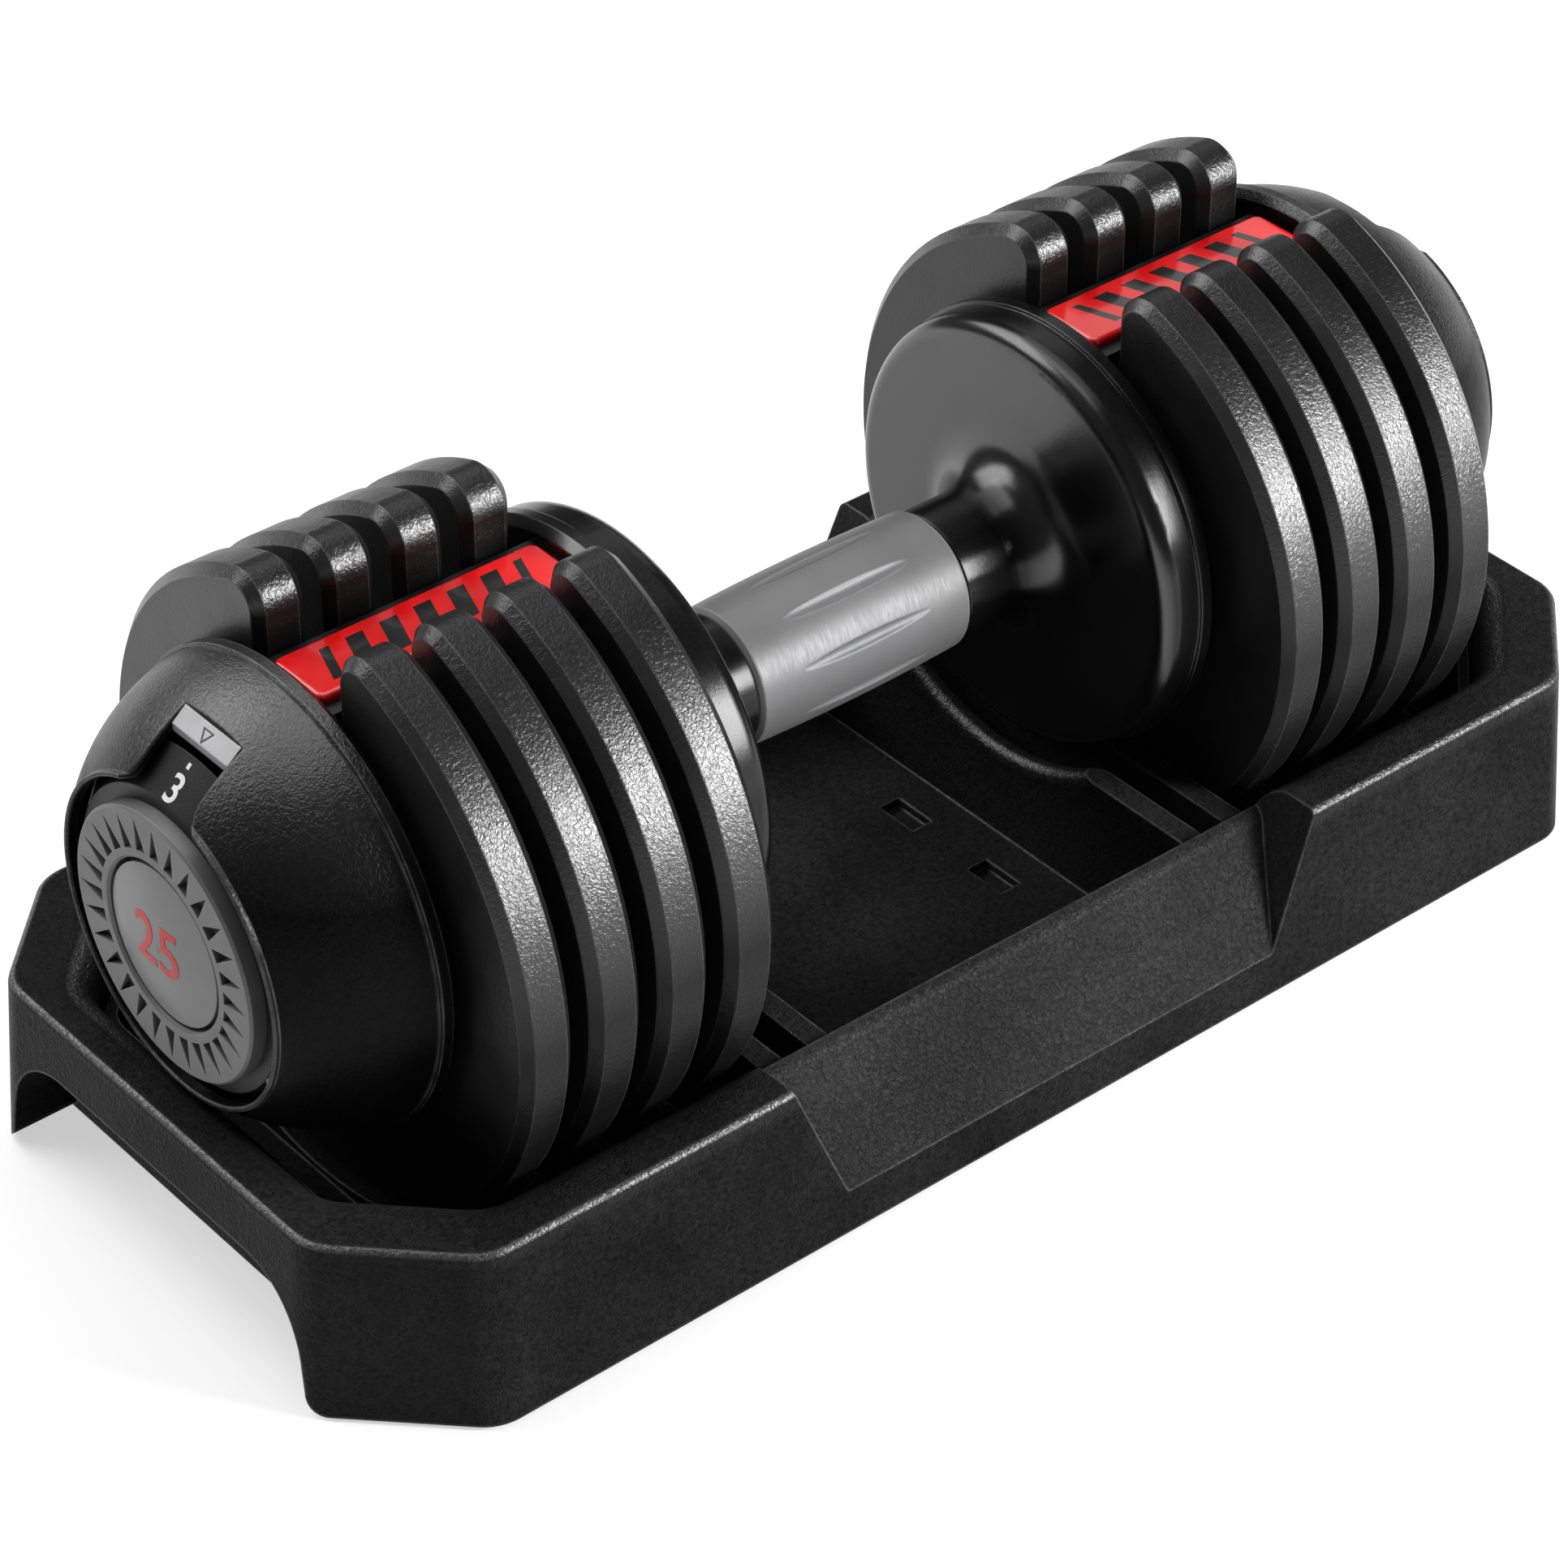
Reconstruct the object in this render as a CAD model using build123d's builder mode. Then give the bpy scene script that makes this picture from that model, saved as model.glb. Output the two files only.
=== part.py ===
from build123d import *
import math
import os

# Adjustable dumbbell resting in its storage tray, millimetres, +Z up.
# X runs along the handle, the front is -Y and the tray stands on Z = 0.
# The right end (+X) is drawn, and the left end is its mirror image.

# Handle axis
axis_height = 87.2
shaft_radius = 4.5
shaft_reach = 1.5
press_clearance = 0.02
running_clearance = 0.05
body_gap = 0.4

# Weight plates, counted outward from the handle
plate_count = 4
plate_radius = 75.0
plate_thickness = 13.0
plate_pitch = 18.0
plate_drop = 5.2
plate_start = 75.0
plate_edge = 2.4
slot_width = 27.0
slot_depth = 14.5
slot_corner = 2.0
horn_round = 8.0

# Hook on each plate, which the selector discs catch
hook_width = 10.0
hook_thickness = 3.0
hook_inset = 1.0
nib_width = 7.0
nib_length = 4.5
nib_top = 5.6
nib_height = 1.8

# Selector discs on the shaft
step_angle = 60.0
selector_outer = 10.5
selector_inner = 8.6
selector_hub = 7.5
selector_hub_length = 4.0
selector_web = 1.5
selector_wall_length = 7.0
selector_setback = 1.5
selector_lead = 26.0

# Grip
grip_half_length = 31.0
grip_end_radius = 16.9
grip_mid_radius = 17.6
grip_edge = 1.0
flute_count = 9
flute_half_length = 40.0
flute_radius = 2.2
flute_sink = 0.75

# Inner disc with its collar
collar_radius = 16.0
collar_bore_clearance = 1.0
flare_radius = 13.0
disc_radius = 54.8
disc_gap = 3.0
disc_thickness = 15.0
disc_round = 4.5
disc_lip_step = 1.0
disc_lip_width = 5.0
disc_back_edge = 2.0
bush_radius = 8.0
bush_length = 14.0

# Core box through the plate slots, and its label
box_side_clearance = 1.0
box_wall = 1.5
box_top_wall = 3.0
box_top = 48.8
box_bottom_clearance = 2.0
label_width = 18.0
label_thickness = 2.4
label_inset = 1.5
label_corner = 2.5
label_edge = 1.2

# End plate and end cap
end_plate_radius = 55.6
end_plate_gap = 2.0
end_plate_thickness = 5.0
end_plate_edge = 1.8
end_plate_lip = 0.6
end_bush_flange = 2.0
end_bush_flange_radius = 10.0
cap_wall = 2.0
cap_step = 0.8
cap_bulge = 2.7
cap_depth = 28.5
cap_mouth_radius = 37.6
cap_lip = 1.2
window_depth = 14.0
window_width = 20.0
window_flare = 5.0
window_flare_angle = 55.0
window_edge = 0.7
pointer_length = 3.7
pointer_sink = 1.0
pointer_thickness = 1.8
pointer_clearance = 0.1
screw_circle = 48.2
screw_count = 3
screw_radius = 1.5
screw_head_radius = 2.8
screw_head_height = 2.0
screw_length = 10.0
screw_boss_radius = 4.0

# Dial
dial_sink = 1.5
dial_depth = 16.5
dial_hub_radius = 9.0
dial_web = 4.0
dial_shoulder = 35.4
dial_cone_depth = 8.0
dial_cone_radius = 43.3
dial_cone_wall = 2.0
ring_outer = 32.0
ring_inner = 20.0
ring_height = 4.0
ring_edge = 0.6
ring_recess_count = 28
ring_recess_depth = 2.0
ring_recess_inner = 22.4
ring_recess_outer = 30.3
ring_recess_fill = 0.66
button_gap = 1.0
button_height = 3.4
button_dome = 2.0
end_screw_head_radius = 6.0
end_screw_head_height = 2.2
end_screw_radius = 2.0
end_screw_length = 12.0
end_screw_clearance = 0.4

# Detent
detent_gap = 1.0
detent_width = 4.0
detent_radius = 15.0
detent_count = 6
detent_notch = 2.6
detent_nub = 2.0
detent_nub_clearance = 0.3
leaf_thickness = 0.8
leaf_half_length = 18.0
leaf_foot_height = 6.0
leaf_foot_depth = 4.0

# Storage tray
tray_length = 380.0
tray_width = 174.0
tray_corner = 29.0
tray_top = 46.0
tray_draft = 4.0
tray_edge = 2.0
tray_corner_round = 12.0
foot_show = 1.0
floor_top = 5.0
cavity_length = 344.0
cavity_width = 134.0
cavity_corner = 24.0
cavity_corner_round = 10.0
cavity_edge = 9.0
shelf_height = 34.0
shelf_width = 4.0
ramp_low = 11.0
ramp_high = 40.0
ramp_low_half = 64.0
ramp_high_half = 78.0
ramp_crest_y = 69.0
ramp_crest_round = 6.0
arch_low_half = 56.0
arch_high_half = 52.0
arch_height = 31.0
arch_depth = 18.0
arch_round = 20.0
leg_round = 5.0
cradle_height = 24.0
cradle_clearance = 0.3
cradle_margin = 3.0
rib_thickness = 3.0
rib_top = 30.0
rib_bite = 9.0
saddle_thickness = 6.0
saddle_spacing = 13.0
saddle_step = 3.0
saddle_top = 38.0
drain_length = 12.0
drain_width = 6.0
drain_depth = 2.5
drain_x = 41.0
drain_y = 16.0
pad_radius = 7.0
pad_thickness = 3.0
pad_clearance = 0.1
pad_x = 164.0
pad_y = 66.0

# Distance within which a place counts as lying on a surface
nearness = 0.01

# Values worked out from the sizes above
axle = Axis((0, 0, axis_height), (1, 0, 0))
lengthwise = Plane(origin=(0, 0, axis_height), x_dir=(1, 0, 0), z_dir=(0, -1, 0))
plate_starts = [plate_start + plate_pitch * index for index in range(plate_count)]
plates_end = plate_starts[-1] + plate_thickness
disc_back = plate_start - disc_gap
disc_front = disc_back - disc_thickness
end_plate_start = plates_end + end_plate_gap
cap_start = end_plate_start + end_plate_thickness
cap_mouth_x = cap_start + cap_depth
cap_base = end_plate_radius - cap_step
cap_fall = cap_base - cap_mouth_radius - cap_lip
cap_chord = math.hypot(cap_depth, cap_fall)
dome_radius = cap_chord**2 / (8 * cap_bulge) + cap_bulge / 2
dome_x = cap_start + cap_depth / 2 - (dome_radius - cap_bulge) * cap_fall / cap_chord
dome_offset = cap_base - cap_fall / 2 - (dome_radius - cap_bulge) * cap_depth / cap_chord
window_start = cap_start + window_depth
detent_start = cap_start + end_bush_flange + detent_gap
dial_seat = cap_mouth_x - dial_sink
dial_back = dial_seat - dial_depth
dial_cone_x = dial_seat - dial_cone_depth
shaft_half_length = dial_seat + shaft_reach
box_width = slot_width - 2 * box_side_clearance
ring_face = dial_seat + ring_height
button_radius = ring_inner - button_gap


def across(x):
    """Plane square to the handle at x, with +Y to the right and +Z up."""
    return Plane(origin=(x, 0, axis_height), x_dir=(0, 1, 0), z_dir=(1, 0, 0))


def standing(x):
    """The same plane with its origin on the ground."""
    return Plane(origin=(x, 0, 0), x_dir=(0, 1, 0), z_dir=(1, 0, 0))


def polar(radius, angle):
    return (radius * math.cos(angle), radius * math.sin(angle))


def save(piece, name):
    piece.label = name
    export_step(piece, f"parts/{name}.step")


def save_pair(piece, name):
    save(piece, f"{name}_right")
    with BuildPart() as twin:
        mirror(piece, about=Plane.YZ)
    save(twin.part, f"{name}_left")


def turned(points):
    """Solid of revolution about the handle axis from (x, radius) points."""
    with BuildPart() as piece:
        with BuildSketch(lengthwise):
            with BuildLine():
                Polyline(*points, close=True)
            make_face()
        revolve(axis=axle)
    return piece.part


def sleeve(start, end, inner, outer):
    return turned([(start, inner), (end, inner), (end, outer), (start, outer)])


def dome(x, depth=0):
    """Point (x, radius) on the end cap's dome, or so far below its outside."""
    return (x, dome_offset + math.sqrt((dome_radius - depth) ** 2 - (x - dome_x) ** 2))


# Weight plate: a slotted disc with a hook standing in the bottom of the slot
def weight_plate(start):
    hook_end = start + plate_thickness - hook_inset
    hook_start = hook_end - hook_thickness
    with BuildPart() as plate:
        with BuildSketch(across(start)) as outline:
            with Locations((0, -plate_drop)):
                Circle(plate_radius)
            with Locations((0, -slot_depth)):
                Rectangle(slot_width, 2 * plate_radius, align=(Align.CENTER, Align.MIN), mode=Mode.SUBTRACT)
            fillet(outline.vertices().sort_by(Axis.Y)[:2], slot_corner)
            fillet(outline.vertices().sort_by(Axis.Y)[-2:], horn_round)
        extrude(amount=plate_thickness)
        chamfer(plate.faces().sort_by(Axis.X)[-1].edges(), plate_edge)
        chamfer(plate.faces().sort_by(Axis.X)[0].edges(), plate_edge)
        with BuildSketch(across(hook_start)):
            with Locations((0, -nib_top)):
                Rectangle(hook_width, slot_depth, align=(Align.CENTER, Align.MAX))
        extrude(amount=hook_thickness)
        with BuildSketch(across(hook_start)):
            with Locations((0, -nib_top)):
                Rectangle(nib_width, nib_height, align=(Align.CENTER, Align.MAX))
        extrude(amount=-nib_length)
    return plate.part


# Selector disc: its part-ring wall passes under the plate's nib at every setting that takes the plate
def selector_disc(start, number):
    web_start = start + selector_setback
    web_end = web_start + selector_web
    last_angle = -90 - step_angle * plate_count - selector_lead
    first_angle = -90 - step_angle * number + selector_lead
    with BuildPart() as disc:
        with BuildSketch(across(web_start)):
            Circle(selector_outer)
        extrude(amount=selector_web)
        with BuildSketch(across(web_end - selector_hub_length)):
            Circle(selector_hub)
        extrude(amount=selector_hub_length)
        with BuildSketch(across(web_start)):
            with BuildLine():
                outer = CenterArc((0, 0), selector_outer, last_angle, first_angle - last_angle)
                inner = CenterArc((0, 0), selector_inner, last_angle, first_angle - last_angle)
                Line(outer @ 0, inner @ 0)
                Line(outer @ 1, inner @ 1)
            make_face()
        extrude(amount=selector_wall_length)
        with BuildSketch(across(web_end - selector_hub_length)):
            Circle(shaft_radius + press_clearance)
        extrude(amount=selector_hub_length, mode=Mode.SUBTRACT)
        # The web is cut away wherever the plate's nib has to drop through
        with BuildSketch(across(web_start)):
            with BuildLine():
                outer = CenterArc((0, 0), 2 * selector_outer, first_angle, 360 - first_angle + last_angle)
                inner = CenterArc((0, 0), selector_inner, first_angle, 360 - first_angle + last_angle)
                Line(outer @ 0, inner @ 0)
                Line(outer @ 1, inner @ 1)
            make_face()
        extrude(amount=selector_web, mode=Mode.SUBTRACT)
    return disc.part


# Grip: a slightly barrelled metal sleeve with lens-shaped flutes
def grip_sleeve():
    with BuildPart() as grip:
        with BuildSketch(lengthwise):
            with BuildLine():
                ThreePointArc(
                    (-grip_half_length, grip_end_radius),
                    (0, grip_mid_radius),
                    (grip_half_length, grip_end_radius),
                )
                Polyline(
                    (grip_half_length, grip_end_radius),
                    (grip_half_length, shaft_radius + press_clearance),
                    (-grip_half_length, shaft_radius + press_clearance),
                    (-grip_half_length, grip_end_radius),
                )
            make_face()
        revolve(axis=axle)
        ends = grip.edges().filter_by(GeomType.CIRCLE)
        chamfer(ends.filter_by(lambda edge: edge.radius > grip_end_radius - grip_edge), grip_edge)
        reach = grip_mid_radius + flute_radius - flute_sink
        for index in range(flute_count):
            angle = 2 * math.pi * index / flute_count
            center = (0, reach * math.cos(angle), axis_height + reach * math.sin(angle))
            radial = (0, math.cos(angle), math.sin(angle))
            with BuildSketch(Plane(origin=center, x_dir=(1, 0, 0), z_dir=radial)):
                with BuildLine():
                    ThreePointArc((-flute_half_length, 0), (0, flute_radius), (flute_half_length, 0))
                    Line((flute_half_length, 0), (-flute_half_length, 0))
                make_face()
            revolve(axis=Axis(center, (1, 0, 0)), mode=Mode.SUBTRACT)
    return grip.part


# Inner disc: the stationary collar beside the grip flares into a disc that faces the hand
def inner_disc():
    bore = shaft_radius + collar_bore_clearance
    seat = bush_radius + press_clearance
    lip_start = disc_back - disc_lip_width
    flare_end = (disc_front, collar_radius + flare_radius)
    with BuildPart() as disc:
        with BuildSketch(lengthwise) as profile:
            with BuildLine():
                start = (grip_half_length + body_gap, collar_radius)
                Line(start, (disc_front - flare_radius, collar_radius))
                RadiusArc((disc_front - flare_radius, collar_radius), flare_end, -flare_radius)
                Polyline(
                    flare_end,
                    (disc_front, disc_radius - disc_lip_step),
                    (lip_start, disc_radius - disc_lip_step),
                    (lip_start, disc_radius),
                    (disc_back - disc_back_edge, disc_radius),
                    (disc_back, disc_radius - disc_back_edge),
                    (disc_back, seat),
                    (disc_back - bush_length, seat),
                    (disc_back - bush_length, bore),
                    (grip_half_length + body_gap, bore),
                    start,
                )
            make_face()
            rim = profile.vertices().filter_by(lambda point: abs(point.X - disc_front) < disc_lip_step)
            fillet(rim.sort_by(Axis.Y)[-1], disc_round)
        revolve(axis=axle)
    return disc.part


# Core box: a channel that runs through the plate slots, open below for the hooks
def core_box():
    height = box_top + slot_depth - box_bottom_clearance
    with BuildPart() as box:
        with BuildSketch(across(disc_back)):
            with Locations((0, box_top)):
                Rectangle(box_width, height, align=(Align.CENTER, Align.MAX))
            with Locations((0, box_top - box_top_wall)):
                Rectangle(
                    box_width - 2 * box_wall, height, align=(Align.CENTER, Align.MAX), mode=Mode.SUBTRACT
                )
        extrude(amount=end_plate_start - disc_back)
    return box.part


def label():
    length = end_plate_start - disc_back - 2 * label_inset
    with BuildPart() as badge:
        with BuildSketch(Plane.XY.offset(axis_height + box_top)):
            with Locations((disc_back + label_inset, 0)):
                RectangleRounded(length, label_width, label_corner, align=(Align.MIN, Align.CENTER))
        extrude(amount=label_thickness)
        fillet(badge.edges().group_by(Axis.Z)[-1], label_edge)
    return badge.part


def screw_places():
    step = 2 * math.pi / screw_count
    return [polar(screw_circle, math.pi / 2 + step / 2 + step * index) for index in range(screw_count)]


# End plate: closes the core box and carries the outer bush and the cap screws
def end_plate():
    with BuildPart() as plate:
        with BuildSketch(across(end_plate_start)):
            Circle(end_plate_radius)
            Circle(bush_radius + press_clearance, mode=Mode.SUBTRACT)
        extrude(amount=end_plate_thickness)
        for place in screw_places():
            with BuildSketch(across(end_plate_start)):
                with Locations(place):
                    Circle(screw_radius + press_clearance)
            extrude(amount=end_plate_thickness, mode=Mode.SUBTRACT)
            with BuildSketch(across(end_plate_start)):
                with Locations(place):
                    Circle(screw_head_radius + press_clearance)
            extrude(amount=screw_head_height, mode=Mode.SUBTRACT)
        rims = plate.edges().filter_by(lambda edge: edge.length > 6 * end_plate_radius).sort_by(Axis.X)
        chamfer(rims[0], end_plate_edge)
        chamfer(rims[1], end_plate_lip)
    return plate.part


def on_window_rim(edge):
    """True for the back and the sides of the cap's window, where they meet the outside of the dome."""
    place = edge @ 0.5
    radius = math.hypot(place.Y, place.Z - axis_height)
    above = place.Z > axis_height and window_start - nearness < place.X < cap_mouth_x
    return above and abs(radius - dome(place.X)[1]) < nearness


# End cap: a domed shell with a round mouth for the dial and a window above it
def end_cap():
    middle = cap_start + cap_depth / 2
    with BuildPart() as hollow:
        with BuildSketch(lengthwise):
            with BuildLine():
                inside = ThreePointArc(
                    dome(cap_start, cap_wall), dome(middle, cap_wall), dome(cap_mouth_x, cap_wall)
                )
                Polyline(inside @ 1, (cap_mouth_x, 0), (cap_start, 0), inside @ 0)
            make_face()
        revolve(axis=axle)
        for place in screw_places():
            with BuildSketch(across(cap_start)):
                with Locations(place):
                    Circle(screw_boss_radius)
                    Circle(screw_radius + press_clearance, mode=Mode.SUBTRACT)
            extrude(amount=cap_mouth_x - cap_start, mode=Mode.SUBTRACT)
    with BuildPart() as cap:
        with BuildSketch(lengthwise):
            with BuildLine():
                outside = ThreePointArc(dome(cap_start), dome(middle), dome(cap_mouth_x))
                Polyline(
                    outside @ 1,
                    (cap_mouth_x + cap_lip, cap_mouth_radius + cap_lip),
                    (cap_mouth_x + cap_lip, 0),
                    (cap_start, 0),
                    outside @ 0,
                )
            make_face()
        revolve(axis=axle)
        add(hollow.part, mode=Mode.SUBTRACT)
        with BuildSketch(across(dial_back)):
            Circle(cap_mouth_radius)
        extrude(amount=cap_mouth_x + cap_lip - dial_back, mode=Mode.SUBTRACT)
        lips = cap.edges().filter_by(GeomType.CIRCLE).group_by(Axis.X)[-1]
        fillet(lips, cap_lip / 3)
        with BuildSketch(Plane.XY.offset(axis_height)):
            with BuildLine():
                flare_x = cap_mouth_x + cap_lip - window_flare
                Line((window_start, 0), (window_start, window_width / 2))
                Line((window_start, window_width / 2), (flare_x, window_width / 2))
                flare_y = window_width / 2 + window_flare
                flare = CenterArc((flare_x, flare_y), window_flare, 270, window_flare_angle)
                tail = Line(flare @ 1, flare @ 1 + (flare % 1) * window_flare)
                Line(tail @ 1, ((tail @ 1).X, 0))
                mirror(about=Plane.XZ)
            make_face()
        extrude(amount=end_plate_radius, mode=Mode.SUBTRACT)
        fillet(cap.edges().filter_by(on_window_rim), window_edge)
    return cap.part


# Pointer: a small plate at the inner edge of the window, sunk below the cap and sloping to the scale
def pointer():
    tip = window_start + pointer_length
    top = dome(window_start)[1] - pointer_sink
    tip_top = dome(tip)[1] - 2 * pointer_sink
    with BuildPart() as plate:
        with BuildSketch(lengthwise):
            with BuildLine():
                Polyline(
                    (window_start, top - pointer_thickness),
                    (window_start, top),
                    (tip, tip_top),
                    (tip, tip_top - pointer_thickness),
                    close=True,
                )
            make_face()
        extrude(amount=window_width / 2 - pointer_clearance, both=True)
    return plate.part


def cap_screws():
    with BuildPart() as screws:
        for side in (1, -1):
            start = side * end_plate_start
            for place in screw_places():
                with BuildSketch(across(start)):
                    with Locations(place):
                        Circle(screw_head_radius)
                extrude(amount=side * screw_head_height)
                with BuildSketch(across(start)):
                    with Locations(place):
                        Circle(screw_radius)
                extrude(amount=side * (screw_head_height + screw_length))
    return screws.part


# Dial: a coned scale fixed on the shaft, a recessed ring on its face and a domed button in the middle
def dial_scale():
    bore = shaft_radius + press_clearance
    return turned(
        [
            (dial_back, bore),
            (dial_back, dial_hub_radius),
            (dial_seat - dial_web, dial_hub_radius),
            (dial_seat - dial_web, dial_shoulder - dial_cone_wall),
            (dial_cone_x - dial_cone_wall / 2, dial_cone_radius - dial_cone_wall),
            (dial_cone_x, dial_cone_radius),
            (dial_seat, dial_shoulder),
            (dial_seat, bore),
        ]
    )


def dial_ring():
    step = 2 * math.pi / ring_recess_count
    with BuildPart() as ring:
        with BuildSketch(across(dial_seat)):
            Circle(ring_outer)
            Circle(ring_inner, mode=Mode.SUBTRACT)
        extrude(amount=ring_height)
        chamfer(ring.edges().group_by(Axis.X)[-1], ring_edge)
        with BuildSketch(across(ring_face)):
            for index in range(ring_recess_count):
                middle = step * index
                half = step * ring_recess_fill / 2
                with BuildLine():
                    Polyline(
                        polar(ring_recess_outer, middle),
                        polar(ring_recess_inner, middle - half),
                        polar(ring_recess_inner, middle + half),
                        close=True,
                    )
                make_face()
        extrude(amount=-ring_recess_depth, mode=Mode.SUBTRACT)
    return ring.part


def dial_button():
    head = end_screw_head_radius + end_screw_clearance
    edge_x = dial_seat + button_height
    pocket = shaft_half_length + end_screw_head_height + end_screw_clearance
    dome_radius = (button_radius**2 + button_dome**2) / (2 * button_dome)
    dome_angle = math.degrees(math.asin(button_radius / dome_radius))
    with BuildPart() as button:
        with BuildSketch(lengthwise):
            with BuildLine():
                Polyline(
                    (edge_x + button_dome, 0),
                    (pocket, 0),
                    (pocket, head),
                    (dial_seat, head),
                    (dial_seat, button_radius),
                    (edge_x, button_radius),
                )
                CenterArc((edge_x + button_dome - dome_radius, 0), dome_radius, 0, dome_angle)
            make_face()
        revolve(axis=axle)
    return button.part


def dial_screws():
    with BuildPart() as screws:
        for side in (1, -1):
            with BuildSketch(across(side * shaft_half_length)):
                Circle(end_screw_head_radius)
            extrude(amount=side * end_screw_head_height)
            with BuildSketch(across(side * shaft_half_length)):
                Circle(end_screw_radius)
            extrude(amount=-side * end_screw_length)
    return screws.part


def shaft():
    with BuildPart() as rod:
        with BuildSketch(across(-shaft_half_length)):
            Circle(shaft_radius)
        extrude(amount=2 * shaft_half_length)
        for side in (1, -1):
            with BuildSketch(across(side * shaft_half_length)):
                Circle(end_screw_radius + press_clearance)
            extrude(amount=-side * end_screw_length, mode=Mode.SUBTRACT)
    return rod.part


# Detent: a notched wheel on the shaft and a leaf spring on the end plate
def detent_wheel():
    with BuildPart() as wheel:
        with BuildSketch(across(detent_start)):
            Circle(detent_radius)
            with PolarLocations(detent_radius, detent_count):
                Circle(detent_notch, mode=Mode.SUBTRACT)
            Circle(shaft_radius + press_clearance, mode=Mode.SUBTRACT)
        extrude(amount=detent_width)
    return wheel.part


def detent_spring():
    leaf_y = detent_radius + detent_nub_clearance
    nub_reach = leaf_y - detent_radius + detent_notch - detent_nub_clearance
    with BuildPart() as spring:
        with BuildSketch(across(detent_start)):
            with Locations((leaf_y, 0)):
                Rectangle(leaf_thickness, 2 * leaf_half_length, align=(Align.MIN, Align.CENTER))
            with Locations((leaf_y + detent_nub - nub_reach, 0)):
                Circle(detent_nub)
        extrude(amount=detent_width)
        with BuildSketch(across(cap_start)):
            with Locations((leaf_y, -leaf_half_length)):
                Rectangle(leaf_foot_depth, leaf_foot_height, align=(Align.MIN, Align.MAX))
        extrude(amount=detent_start + detent_width - cap_start)
    return spring.part


def octagon(length, width, corner):
    Rectangle(length, width)
    chamfer(vertices(), corner)


# Saddle wall: stands under the inner disc, hollowed to its round and beaded along the top
def saddle_wall(middle, bed):
    bead_radius = saddle_thickness / 2
    crest = bed + bead_radius
    with BuildPart() as saddle:
        with BuildSketch(lengthwise):
            with Locations((middle, -crest)):
                Circle(bead_radius)
        revolve(axis=axle)
        with BuildSketch(across(middle)):
            Circle(crest + tray_length)
            Circle(crest, mode=Mode.SUBTRACT)
        extrude(amount=bead_radius, both=True)
        with BuildSketch(across(middle)):
            with Locations((0, foot_show - axis_height)):
                Rectangle(cavity_width, saddle_top - foot_show, align=(Align.CENTER, Align.MIN))
        extrude(amount=bead_radius, both=True, mode=Mode.INTERSECT)
    return saddle.part


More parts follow.
